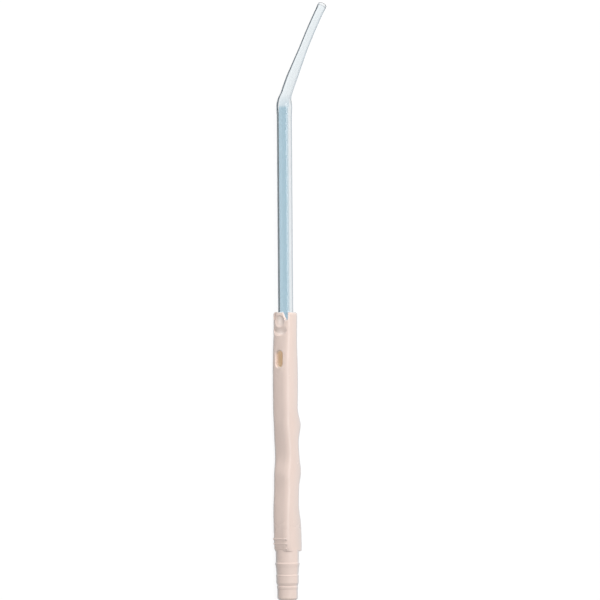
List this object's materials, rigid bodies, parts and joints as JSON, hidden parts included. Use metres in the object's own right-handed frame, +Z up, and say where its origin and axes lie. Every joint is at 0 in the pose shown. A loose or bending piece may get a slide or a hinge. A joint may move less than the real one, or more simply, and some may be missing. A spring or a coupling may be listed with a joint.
{
  "type": "yankauer suction tip",
  "caption": "Clear bent suction tube that tapers behind its elbow, set in a moulded grip handle with finger grooves, a thumb vent and a barbed hose connector.",
  "frame": {"origin": "on the axis of the handle, at the outer edge of the connector's land that first enters the hose", "axes": "+X out of the hose end along the handle, the tip towards -X; +Y towards the side that the tip bends to, the thumb vent faces -Y; +Z up, square to the plane of the bend, as the tip lies on its flat side"},
  "size_m": [0.2583, 0.0353, 0.0106],
  "materials": {
    "grip_handle": "satin moulded",
    "suction_tube": "clear, polished, tinted pale blue"
  },
  "bodies": {
    "root": {"grip_handle": "grip_handle", "suction_tube": "suction_tube"}
  },
  "joints": []
}
